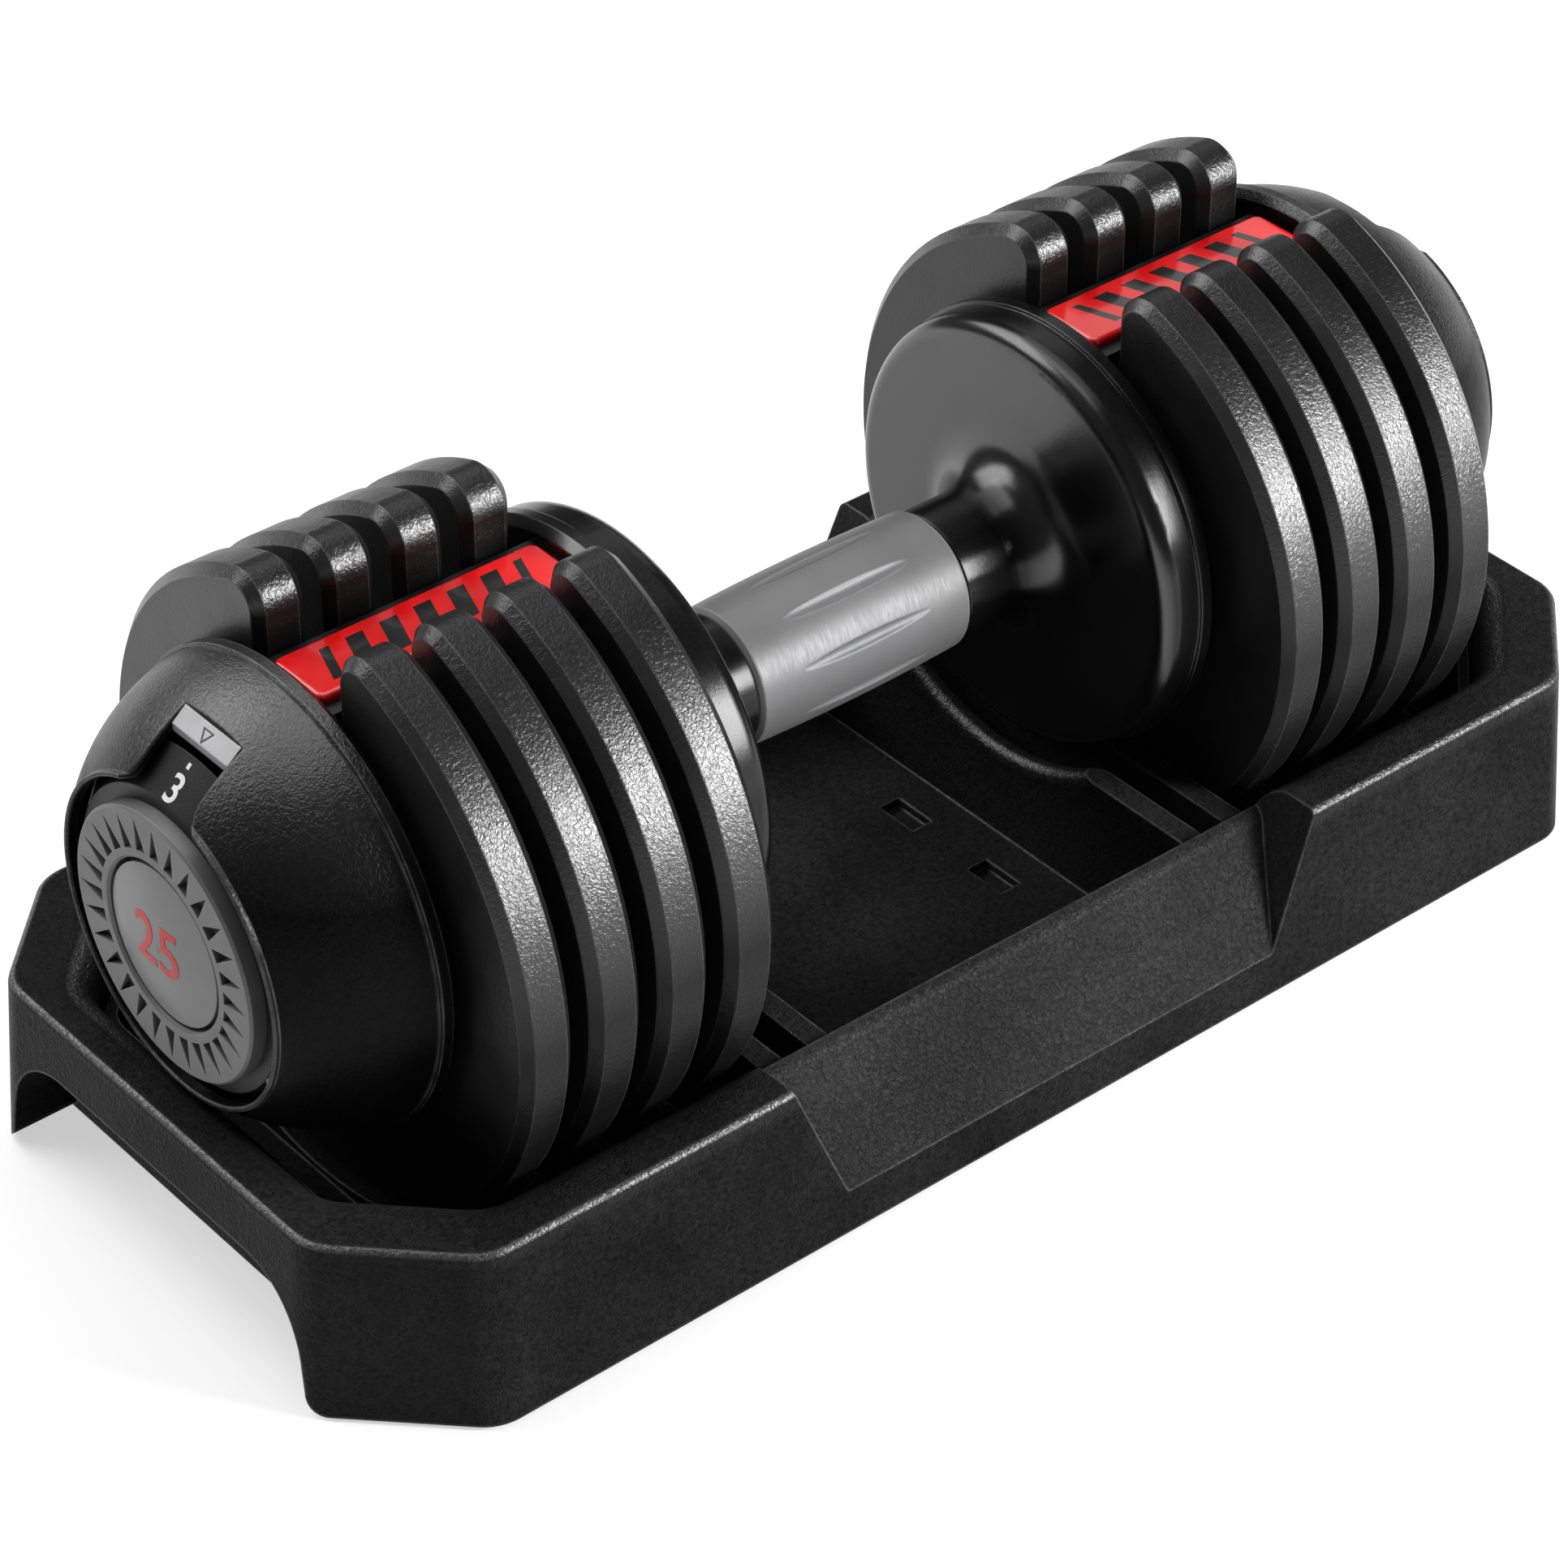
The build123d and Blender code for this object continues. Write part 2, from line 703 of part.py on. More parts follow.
# Tray: a drafted block with a rolled rim, a trough, plate cradles, ribs, hand ramps and end arches
def storage_tray():
    plate_axis = axis_height - plate_drop
    plate_bed = plate_radius + cradle_clearance
    disc_bed = disc_radius + cradle_clearance
    bed_start = plate_start - cradle_margin
    bed_end = plates_end + cradle_margin
    ramp_slope = (ramp_high - ramp_low) / (tray_width / 2 - ramp_crest_y)
    ramp_foot = ramp_low - ramp_slope * tray_corner
    with BuildPart() as ramps:
        with BuildSketch(Plane.XZ):
            with BuildLine():
                spread = (ramp_high_half - ramp_low_half) / (tray_top - ramp_low)
                Polyline(
                    (-ramp_low_half + spread * ramp_low, 0),
                    (-ramp_high_half - spread * tray_top, 2 * tray_top),
                    (ramp_high_half + spread * tray_top, 2 * tray_top),
                    (ramp_low_half - spread * ramp_low, 0),
                    close=True,
                )
            make_face()
        extrude(amount=tray_width, both=True)
        with BuildSketch(Plane.YZ) as fall:
            with BuildLine():
                Polyline(
                    (tray_width / 2 + tray_corner, 2 * tray_top),
                    (tray_width / 2 + tray_corner, ramp_foot),
                    (ramp_crest_y, ramp_high),
                    (-ramp_crest_y, ramp_high),
                    (-tray_width / 2 - tray_corner, ramp_foot),
                    (-tray_width / 2 - tray_corner, 2 * tray_top),
                    close=True,
                )
            make_face()
            crests = fall.vertices().filter_by(lambda point: abs(point.X) < tray_width / 2)
            fillet(crests, ramp_crest_round)
        extrude(amount=tray_length, both=True, mode=Mode.INTERSECT)
    disc_middle = disc_back - disc_lip_width / 2
    saddles = [
        saddle_wall(side * (disc_middle - saddle_spacing * row), disc_bed + saddle_step * row)
        for side in (1, -1)
        for row in range(2)
    ]
    with BuildPart() as tray:
        with BuildSketch(Plane.XY.offset(foot_show)):
            octagon(tray_length, tray_width, tray_corner)
        extrude(amount=tray_top - foot_show, taper=tray_draft)
        corners = tray.edges().filter_by(lambda edge: edge.bounding_box().size.Z > tray_edge)
        fillet(corners, tray_corner_round)
        fillet(tray.edges().group_by(Axis.Z)[-1], tray_edge)
        with BuildSketch(Plane.XY.offset(shelf_height)) as cavity:
            octagon(cavity_length, cavity_width, cavity_corner)
            fillet(cavity.vertices(), cavity_corner_round)
        extrude(amount=tray_top, mode=Mode.SUBTRACT)
        fillet(tray.faces().sort_by(Axis.Z)[-1].inner_wires()[0].edges(), cavity_edge)
        with BuildSketch(Plane.XY.offset(floor_top)) as trough:
            octagon(cavity_length - 2 * shelf_width, cavity_width, cavity_corner)
            fillet(trough.vertices(), cavity_corner_round)
        extrude(amount=shelf_height - floor_top, mode=Mode.SUBTRACT)
        add(ramps.part, mode=Mode.SUBTRACT)
        add(saddles)
        for side in (1, -1):
            # Cradle under the plates
            with BuildSketch(standing(side * bed_start)):
                Rectangle(cavity_width, cradle_height, align=(Align.CENTER, Align.MIN))
                Rectangle(cavity_width, foot_show, align=(Align.CENTER, Align.MIN), mode=Mode.SUBTRACT)
                with Locations((0, plate_axis)):
                    Circle(plate_bed, mode=Mode.SUBTRACT)
            extrude(amount=side * (bed_end - bed_start))
            # Ribs that stand between the plates
            for start in plate_starts[1:]:
                middle = start - (plate_pitch - plate_thickness) / 2
                with BuildSketch(standing(side * middle)):
                    with Locations((0, floor_top)):
                        Rectangle(cavity_width, rib_top - floor_top, align=(Align.CENTER, Align.MIN))
                    with Locations((0, plate_axis)):
                        Circle(plate_radius - rib_bite, mode=Mode.SUBTRACT)
                extrude(amount=rib_thickness / 2, both=True)
            # Arch in the end wall
            with BuildSketch(standing(side * tray_length / 2)) as arch:
                with BuildLine():
                    toe = foot_show + leg_round
                    Polyline((0, arch_height), (arch_high_half, arch_height), (arch_low_half, toe))
                    heel = CenterArc((arch_low_half + leg_round, toe), leg_round, 180, 90)
                    Line(heel @ 1, (0, foot_show))
                    mirror(about=Plane.YZ)
                make_face()
                fillet(arch.vertices().sort_by(Axis.Y)[-2:], arch_round)
            extrude(amount=-side * arch_depth, mode=Mode.SUBTRACT)
        with BuildSketch(Plane.XY.offset(floor_top)):
            with GridLocations(2 * drain_x, 2 * drain_y, 2, 2):
                Rectangle(drain_width, drain_length)
        extrude(amount=-drain_depth, mode=Mode.SUBTRACT)
        with BuildSketch(Plane.XY):
            with GridLocations(2 * pad_x, 2 * pad_y, 2, 2):
                Circle(pad_radius + pad_clearance)
        extrude(amount=pad_thickness, mode=Mode.SUBTRACT)
    return tray.part


def tray_feet():
    with BuildPart() as pads:
        with BuildSketch(Plane.XY):
            with GridLocations(2 * pad_x, 2 * pad_y, 2, 2):
                Circle(pad_radius)
        extrude(amount=pad_thickness)
    return pads.part


os.makedirs("parts", exist_ok=True)

save(storage_tray(), "tray")
save(tray_feet(), "tray_feet")
for index, start in enumerate(plate_starts):
    save_pair(weight_plate(start), f"plate_{index + 1}")
    save_pair(selector_disc(start, index + 1), f"selector_disc_{index + 1}")
save(shaft(), "shaft")
save(grip_sleeve(), "grip")
save_pair(inner_disc(), "inner_disc")
save_pair(
    sleeve(disc_back - bush_length, disc_back, shaft_radius + running_clearance, bush_radius), "inner_bush"
)
save_pair(core_box(), "core_box")
save_pair(label(), "label")
save_pair(end_plate(), "end_plate")
save_pair(
    turned(
        [
            (end_plate_start, shaft_radius + running_clearance),
            (end_plate_start, bush_radius),
            (cap_start, bush_radius),
            (cap_start, end_bush_flange_radius),
            (cap_start + end_bush_flange, end_bush_flange_radius),
            (cap_start + end_bush_flange, shaft_radius + running_clearance),
        ]
    ),
    "end_bush",
)
save_pair(end_cap(), "end_cap")
save_pair(pointer(), "pointer")
save(cap_screws(), "cap_screws")
save_pair(dial_scale(), "dial_scale")
save_pair(dial_ring(), "dial_ring")
save_pair(dial_button(), "dial_button")
save(dial_screws(), "dial_screws")
save_pair(detent_wheel(), "detent_wheel")
save_pair(detent_spring(), "detent_spring")
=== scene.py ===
import math

import bmesh
import bpy
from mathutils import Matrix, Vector


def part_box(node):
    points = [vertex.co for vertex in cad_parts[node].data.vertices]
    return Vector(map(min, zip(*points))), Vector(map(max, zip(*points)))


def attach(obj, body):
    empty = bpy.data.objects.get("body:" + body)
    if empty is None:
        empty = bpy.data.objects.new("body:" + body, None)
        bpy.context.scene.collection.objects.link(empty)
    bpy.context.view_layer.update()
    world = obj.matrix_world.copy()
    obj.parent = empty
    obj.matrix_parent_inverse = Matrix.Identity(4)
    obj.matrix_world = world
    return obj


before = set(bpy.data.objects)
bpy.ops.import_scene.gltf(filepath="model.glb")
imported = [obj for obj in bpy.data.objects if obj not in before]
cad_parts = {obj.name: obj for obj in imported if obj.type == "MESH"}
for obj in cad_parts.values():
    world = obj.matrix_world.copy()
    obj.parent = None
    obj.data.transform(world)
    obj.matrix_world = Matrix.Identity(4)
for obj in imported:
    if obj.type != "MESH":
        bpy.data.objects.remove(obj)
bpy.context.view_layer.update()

# Camera: the photo's viewing angle, in degrees, metres and millimetres of lens
VIEW_AZIMUTH = -39.9
VIEW_ELEVATION = 36.8
VIEW_DISTANCE = 1.140
VIEW_TARGET = Vector((0, 0, 0.082))
VIEW_RIGHT = -0.0084
VIEW_UP = -0.0312
LENS_MM = 115.0
SENSOR_MM = 36.0

# Dial settings, in the order that the handle reaches them, with the first one straight up at rest
SETTINGS = ("3", "9", "14", "20", "25")
FIRST_DEGREES = 90.0
STEP_DEGREES = 60.0

# Printed marks: sizes in metres, and places as shares of the way from the cone's shoulder to its rim
SCALE_TEXT_SIZE = 0.0092
SCALE_TEXT_PLACE = 0.28
TICK_LENGTH = 0.0014
TICK_WIDTH = 0.0010
TICK_PLACE = 0.80
BUTTON_TEXT_SIZE = 0.0170
POINTER_MARK_SIZE = 0.0044
POINTER_MARK_LINE = 0.00036
POINTER_MARK_CORNERS = (270, 30, 150)
PRINT_DEPTH = 0.0002
PRINT_WEIGHT = 0.00012
PRINT_CUTS = 2

# Tolerances in metres: points that are one point, and corners that lie on a face or round a button's rim
SAME_POINT = 1e-7
ON_FACE = 0.0001
ON_RIM = 0.0002

# Slanted bars on the red labels, in metres and shares
BAR_PITCH = 0.0088
BAR_SHARE = 0.52
BAR_SLANT = 0.35
BAR_REACH = 0.6
BAR_MARGIN = 0.008

# Ranges that a noise value mostly lies in
NOISE_WIDE = (0.3, 0.7)
NOISE_NARROW = (0.35, 0.65)

# Hide-like grain: detail and distortion of its noise, and height in metres
HIDE_DETAIL = 2.0
HIDE_DISTORTION = 1.2
HIDE_HEIGHT = 0.0004

# Edges: bevel samples, cosines of the bend on a full edge and on flat ground, and polish as a specular level
EDGE_SAMPLES = 3
EDGE_BEND = (0.85, 0.998)
EDGE_POLISH = 0.8

# Moulded black: shares of its tone in dark and light speckles, where they lie, reach of the painted grain
# shade, and reach of its roughness
# The speckles mix random tone with painted shade: darker in the grain's hollows, lighter on its tops
SPECKLE_DARK = 0.4
SPECKLE_LIGHT = 1.8
SPECKLE_RANGE = (0.15, 0.85)
GRAIN_HOLLOW_SHADE = (0.6, 1.4)
MOULDED_SMOOTHER = 0.04
MOULDED_ROUGHER = 0.05

# Satin: shares of tone in dark and light patches, reach of roughness, and how much finer sheen and grain are
SATIN_DARK = 0.9
SATIN_LIGHT = 1.1
SATIN_REACH = 0.05
SATIN_SHEEN_FINER = 4
SATIN_GRAIN_FINER = 30

# Runs: the level at the start and at the end, then the part of the surface's direction that gives each
CAP_UPWARD = (0.05, 0.74, 0.45, 0.8)
DISC_FACE = (0.25, 1.0, 0.3, 0.75)
TRAY_BEADS = (0.06, 0.7, 0.2, 0.6)
TRAY_UPWARD = (0.05, 1.0, 0.35, 0.65)
TRAY_LEVEL = (1.0, 0.03, 0.93, 0.985)
PLATE_GRAIN = (0.50, 0.18, 0.3, 0.9)
PLATE_SHOULDER = (0.14, 0.90, 0.0, 0.5)
PLATE_CROWN = (1.0, 0.35, 0.66, 0.86)
PLATE_FACE = (0.0, 0.55, 0.8, 0.95)

# Depth of the tray's polished rim in metres, stretch and roughness of the grip's rings, and ink's pale share
TRAY_RIM_DEPTH = 0.005
GRIP_STRETCH = (8.0, 1.0, 1.0)
GRIP_ROUGHNESS = (0.41, 0.51)
INK_PALE = 1.12

# Colours: blue in a grey as a share, and white
GREY_BLUE = 1.02
WHITE = (1.0, 1.0, 1.0)

# Places of the colour sockets on a mix node, which has several sockets of each name
MIX_FIRST = 6
MIX_SECOND = 7
MIX_RESULT = 2

# Floor and world: sizes and distances in metres, shares and plain strengths
FLOOR_RADIUS = 30.0
FLOOR_SIDES = 96
FLOOR_TONE = 0.52
FLOOR_PALE = 1.03
FLOOR_ROUGHNESS = 0.9
FLOOR_LIFT_NEAR = 0.56
FLOOR_LIFT_FAR = 0.94
FLOOR_NEAR = 0.6
FLOOR_FAR = 1.8
WORLD_FILL = 0.10

# Lamps: name, azimuth and elevation in degrees, distance, width and height in metres, and radiance
LAMPS = (
    ("key_front_right", 32, 20, 1.2, 0.36, 0.50, 40.0),
    ("back_left", -150, 40, 1.8, 1.6, 0.9, 4.0),
    ("top", 180, 74, 1.7, 1.6, 1.6, 2.4),
    ("back_right", 130, 35, 1.8, 0.8, 0.8, 0.8),
)

SIDES = {"left": -1, "right": 1}
shaft_low, shaft_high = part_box("shaft")
AXIS_Z = (shaft_low.z + shaft_high.z) / 2


# Node helpers

def feed(tree, socket, value):
    """Sets a socket to a number or a colour, or links an output to it."""
    if isinstance(value, (int, float)):
        socket.default_value = value
    elif isinstance(value, tuple):
        socket.default_value = (*value, 1.0)
    else:
        tree.links.new(value, socket)


def feed_all(tree, node, values):
    for name, value in values.items():
        feed(tree, node.inputs[name], value)


def new_node(tree, kind, values):
    node = tree.nodes.new(kind)
    feed_all(tree, node, values)
    return node


def new_material(name):
    material = bpy.data.materials.new(name)
    material.use_nodes = True
    tree = material.node_tree
    return material, tree, tree.nodes["Principled BSDF"]


def coordinates(tree, kind="Object"):
    return tree.nodes.new("ShaderNodeTexCoord").outputs[kind]


def components(tree, vector):
    """Outputs X, Y and Z of a vector."""
    return new_node(tree, "ShaderNodeSeparateXYZ", {"Vector": vector}).outputs


def noise(tree, scale, detail, distortion=0.0, vector=None):
    place = vector or coordinates(tree)
    values = {"Scale": scale, "Detail": detail, "Distortion": distortion, "Vector": place}
    return new_node(tree, "ShaderNodeTexNoise", values).outputs["Fac"]


def ramp(tree, factor, first, last, start, end):
    """Colour that runs from the first, where the factor is start, to the last, where it is end."""
    node = new_node(tree, "ShaderNodeValToRGB", {"Fac": factor})
    for element, place, color in zip(node.color_ramp.elements, (start, end), (first, last)):
        element.position = place
        element.color = (*color, 1.0)
    return node.outputs["Color"]


def spread(tree, value, low, high, start=0.0, end=1.0):
    """Takes a value from the range start to end on to the range low to high."""
    values = {"Value": value, "From Min": start, "From Max": end, "To Min": low, "To Max": high}
    return new_node(tree, "ShaderNodeMapRange", values).outputs["Result"]


def calculate(tree, operation, *values):
    node = tree.nodes.new("ShaderNodeMath")
    node.operation = operation
    for socket, value in zip(node.inputs, values):
        feed(tree, socket, value)
    return node.outputs["Value"]


def measure(tree, operation, *vectors):
    """Number that a vector operation gives."""
    node = tree.nodes.new("ShaderNodeVectorMath")
    node.operation = operation
    for socket, vector in zip(node.inputs, vectors):
        feed(tree, socket, vector)
    return node.outputs["Value"]


def product(tree, *values):
    total = values[0]
    for value in values[1:]:
        total = calculate(tree, "MULTIPLY", total, value)
    return total


def mix_color(tree, factor, first, second):
    node = tree.nodes.new("ShaderNodeMix")
    node.data_type = "RGBA"
    feed(tree, node.inputs["Factor"], factor)
    feed(tree, node.inputs[MIX_FIRST], first)
    feed(tree, node.inputs[MIX_SECOND], second)
    return node.outputs[MIX_RESULT]


def bump(tree, height, strength, distance, normal):
    values = {"Height": height, "Strength": strength, "Distance": distance, "Normal": normal}
    return new_node(tree, "ShaderNodeBump", values).outputs["Normal"]


def soft_edge(tree, radius):
    """Rounded normal along sharp edges, and a mask that is 1 there and 0 on flat ground."""
    bevel = new_node(tree, "ShaderNodeBevel", {"Radius": radius})
    bevel.samples = EDGE_SAMPLES
    rounded = bevel.outputs["Normal"]
    geometry = tree.nodes.new("ShaderNodeNewGeometry")
    bend = measure(tree, "DOT_PRODUCT", rounded, geometry.outputs["Normal"])
    return rounded, spread(tree, bend, 1.0, 0.0, *EDGE_BEND)


def facing(tree, axis):
    """Part of the surface's direction along an axis of the piece, from -1 to 1."""
    return components(tree, coordinates(tree, "Normal"))[axis]


def sideways(tree):
    """Part of the surface's direction along the handle, either way, from 0 to 1."""
    return calculate(tree, "ABSOLUTE", facing(tree, "X"))


def hide_grain(tree, scale):
    return noise(tree, scale, HIDE_DETAIL, HIDE_DISTORTION)


def patches(tree, scale, detail, dark, light):
    """Colour that drifts between a dark and a light one."""
    return ramp(tree, noise(tree, scale, detail), dark, light, *NOISE_WIDE)


def uneven(tree, scale, detail, low, high):
    """Number that drifts between a low and a high one."""
    return spread(tree, noise(tree, scale, detail), low, high, *NOISE_WIDE)


def wear_and_edge_highlight(tree, edges, scale, detail, low, high):
    """Mask of edges for painted edge highlights and for worn edges, stronger in some places than in others.
    """
    return product(tree, edges, spread(tree, noise(tree, scale, detail), low, high, *NOISE_NARROW))


def grey(tone):
    return (tone, tone, tone * GREY_BLUE)


# Materials

def grained_black(name, tone, roughness, shine, grain_size, grain_strength, edge_radius, edge_highlight_tone):
    """Moulded black plastic: hide-like grain with painted shade in its hollows, patchy sheen, and edges
    painted lighter, partly as worn plastic and partly as a painted edge highlight.

    Its shine is a specular level, or a function that draws one, and then the edges are polished as well.
    """
    material, tree, shader = new_material(name)
    normal, edges = soft_edge(tree, edge_radius)
    grain = hide_grain(tree, 1 / grain_size)
    cloud = noise(tree, scale=24.0, detail=4.0)
    # Painted shade in the grain: its hollows darker and its tops lighter, mixed with random cloudy tone
    speckle_and_grain_shade = product(tree, cloud, spread(tree, grain, *GRAIN_HOLLOW_SHADE, *NOISE_NARROW))
    body = ramp(tree, speckle_and_grain_shade, grey(tone * SPECKLE_DARK), grey(tone * SPECKLE_LIGHT), *SPECKLE_RANGE)
    # Painted edge highlight: edges are made lighter, partly as worn plastic, more in some places than in
    # others
    rubbed_and_highlit = wear_and_edge_highlight(tree, edges, scale=170.0, detail=4.0, low=0.2, high=0.9)
    smooth = roughness - MOULDED_SMOOTHER
    rough = roughness + MOULDED_ROUGHER
    level = shine
    if callable(shine):
        level = calculate(tree, "MAXIMUM", shine(tree), product(tree, edges, EDGE_POLISH))
    feed_all(tree, shader, {
        "Base Color": mix_color(tree, rubbed_and_highlit, body, grey(edge_highlight_tone)),
        "Roughness": uneven(tree, scale=60.0, detail=4.0, low=smooth, high=rough),
        "Specular IOR Level": level,
        "Normal": bump(tree, grain, grain_strength, HIDE_HEIGHT, normal),
    })
    return material


def cap_shine(tree):
    """Polished where the cap faces up, matt below."""
    return spread(tree, facing(tree, "Z"), *CAP_UPWARD)


def disc_shine(tree):
    """Polished on the face towards the hand, duller on the collar."""
    return spread(tree, sideways(tree), *DISC_FACE)


def tray_shine(tree):
    """Polished round the rim's edge and along the saddle beads, matt on level ground, walls and ramps."""
    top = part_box("tray")[1].z
    height = components(tree, coordinates(tree))["Z"]
    rim = spread(tree, height, 0.0, 1.0, top - TRAY_RIM_DEPTH, top - TRAY_RIM_DEPTH / 2)
    beads = spread(tree, sideways(tree), *TRAY_BEADS)
    upward = spread(tree, facing(tree, "Z"), *TRAY_UPWARD)
    level = spread(tree, facing(tree, "Z"), *TRAY_LEVEL)
    return product(tree, upward, level, calculate(tree, "MAXIMUM", rim, beads))


def plate_black():
    """Coated plate: hide-like grain that is stronger on the round rim than on the faces."""
    material, tree, shader = new_material("plate_black")
    normal, edges = soft_edge(tree, radius=0.0006)
    body = patches(tree, scale=30.0, detail=4.0, dark=grey(0.006), light=grey(0.010))
    # Painted edge highlight: the chamfer and rim edges are made lighter, partly as worn coating
    edge_highlight_color = grey(0.14)
    rubbed_and_highlit = wear_and_edge_highlight(tree, edges, scale=220.0, detail=4.0, low=0.3, high=0.9)
    grain = hide_grain(tree, scale=950.0)
    strength = spread(tree, sideways(tree), *PLATE_GRAIN)
    shoulder = spread(tree, facing(tree, "Z"), *PLATE_SHOULDER)
    crown = spread(tree, facing(tree, "Z"), *PLATE_CROWN)
    face = spread(tree, sideways(tree), *PLATE_FACE)
    feed_all(tree, shader, {
        "Base Color": mix_color(tree, rubbed_and_highlit, body, edge_highlight_color),
        "Roughness": uneven(tree, scale=90.0, detail=4.0, low=0.30, high=0.38),
        "Specular IOR Level": calculate(tree, "MAXIMUM", product(tree, shoulder, crown), face),
        "Normal": bump(tree, grain, strength, HIDE_HEIGHT, normal),
    })
    return material


def satin(name, tone, roughness, metallic, patch_size, edge_highlight_tone):
    """Plain satin surface with slight patches, fine texture and a painted highlight along its edges."""
    material, tree, shader = new_material(name)
    normal, edges = soft_edge(tree, radius=0.0004)
    dark = tuple(channel * SATIN_DARK for channel in tone)
    light = tuple(channel * SATIN_LIGHT for channel in tone)
    body = patches(tree, scale=1 / patch_size, detail=4.0, dark=dark, light=light)
    grain = noise(tree, scale=SATIN_GRAIN_FINER / patch_size, detail=2.0)
    sheen_scale = SATIN_SHEEN_FINER / patch_size
    smooth = roughness - SATIN_REACH
    rough = roughness + SATIN_REACH
    feed_all(tree, shader, {
        # Painted edge highlight: edges are made lighter in colour
        "Base Color": mix_color(tree, edges, body, edge_highlight_tone),
        "Metallic": metallic,
        "Roughness": uneven(tree, scale=sheen_scale, detail=4.0, low=smooth, high=rough),
        "Normal": bump(tree, grain, strength=0.06, distance=0.0002, normal=normal),
    })
    return material


def grip_grey():
    """Satin grey metal turned on a lathe: fine rings round the grip, a little darker in patches."""
    material, tree, shader = new_material("grip_grey")
    normal, edges = soft_edge(tree, radius=0.0008)
    stretch = new_node(tree, "ShaderNodeMapping", {"Vector": coordinates(tree)})
    stretch.inputs["Scale"].default_value = GRIP_STRETCH
    rings = noise(tree, scale=300.0, detail=4.0, vector=stretch.outputs["Vector"])
    body = patches(tree, scale=45.0, detail=3.0, dark=grey(0.125), light=grey(0.155))
    # Painted edge highlight: the grip's edges are made a lighter grey
    edge_highlight_color = grey(0.34)
    feed_all(tree, shader, {
        "Base Color": mix_color(tree, edges, body, edge_highlight_color),
        "Metallic": 0.25,
        "Roughness": spread(tree, rings, *GRIP_ROUGHNESS, *NOISE_WIDE),
        "Specular IOR Level": 0.3,
        "Normal": bump(tree, rings, strength=0.05, distance=0.0002, normal=normal),
    })
    return material


def bar_mask(tree):
    """1 on the slanted bars in the middle of a label, 0 on its red border."""
    low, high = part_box("label_right")
    place = components(tree, coordinates(tree))
    along = calculate(tree, "ABSOLUTE", place["X"])
    across = calculate(tree, "ABSOLUTE", place["Y"])
    slant = calculate(tree, "MULTIPLY_ADD", place["Y"], BAR_SLANT, along)
    wave = calculate(tree, "FRACT", calculate(tree, "DIVIDE", slant, BAR_PITCH))
    return product(
        tree,
        calculate(tree, "LESS_THAN", wave, BAR_SHARE),
        calculate(tree, "LESS_THAN", across, high.y * BAR_REACH),
        calculate(tree, "GREATER_THAN", slant, low.x + BAR_MARGIN),
        calculate(tree, "LESS_THAN", slant, high.x - BAR_MARGIN),
    )


def label_red():
    """Glossy red moulding with plain slanted black bars along its middle."""
    material, tree, shader = new_material("label_red")
    normal, edges = soft_edge(tree, radius=0.0007)
    red = patches(tree, scale=60.0, detail=3.0, dark=(0.74, 0.005, 0.006), light=(0.82, 0.007, 0.008))
    bar_color = grey(0.008)
    # Painted edge highlight: edges are made a lighter red, partly as worn moulding
    edge_highlight_color = (0.85, 0.10, 0.09)
    printed = mix_color(tree, bar_mask(tree), red, bar_color)
    rubbed_and_highlit = wear_and_edge_highlight(tree, edges, scale=150.0, detail=3.0, low=0.1, high=0.5)
    waves = noise(tree, scale=90.0, detail=2.0)
    feed_all(tree, shader, {
        "Base Color": mix_color(tree, rubbed_and_highlit, printed, edge_highlight_color),
        "Roughness": uneven(tree, scale=120.0, detail=3.0, low=0.14, high=0.22),
        "Normal": bump(tree, waves, strength=0.04, distance=0.0006, normal=normal),
        "Coat Weight": 0.5,
        "Coat Roughness": 0.06,
    })
    return material


def ink(name, color):
    """Printed ink: one colour with slightly uneven cover."""
    material, tree, shader = new_material(name)
    pale = tuple(min(1.0, channel * INK_PALE) for channel in color)
    feed_all(tree, shader, {
        "Base Color": patches(tree, scale=500.0, detail=3.0, dark=color, light=pale),
        "Roughness": spread(tree, noise(tree, scale=300.0, detail=3.0), low=0.38, high=0.5),
    })
    return material


def dress(nodes, material):
    for name in nodes:
        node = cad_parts[name]
        node.data.materials.clear()
        node.data.materials.append(material)


def both(*names):
    return [f"{name}_{side}" for name in names for side in SIDES]


tray_black = grained_black(
    "tray_black",
    tone=0.014,
    roughness=0.36,
    shine=tray_shine,
    grain_size=0.0012,
    grain_strength=0.9,
    edge_radius=0.0009,
    edge_highlight_tone=0.16,
)
foot_rubber = grained_black(
    "foot_rubber",
    tone=0.02,
    roughness=0.7,
    shine=0.3,
    grain_size=0.0007,
    grain_strength=0.2,
    edge_radius=0.0004,
    edge_highlight_tone=0.04,
)
cap_black = grained_black(
    "cap_black",
    tone=0.004,
    roughness=0.34,
    shine=cap_shine,
    grain_size=0.0010,
    grain_strength=0.45,
    edge_radius=0.0007,
    edge_highlight_tone=0.34,
)
disc_black = grained_black(
    "disc_black",
    tone=0.003,
    roughness=0.21,
    shine=disc_shine,
    grain_size=0.0007,
    grain_strength=0.06,
    edge_radius=0.0006,
    edge_highlight_tone=0.03,
)
box_black = grained_black(
    "box_black",
    tone=0.010,
    roughness=0.45,
    shine=0.3,
    grain_size=0.0008,
    grain_strength=0.12,
    edge_radius=0.0004,
    edge_highlight_tone=0.05,
)
scale_black = grained_black(
    "scale_black",
    tone=0.005,
    roughness=0.40,
    shine=0.25,
    grain_size=0.0008,
    grain_strength=0.12,
    edge_radius=0.0004,
    edge_highlight_tone=0.04,
)
ring_grey = satin(
    "ring_grey",
    tone=grey(0.14),
    roughness=0.42,
    metallic=0.0,
    patch_size=0.016,
    edge_highlight_tone=grey(0.30),
)
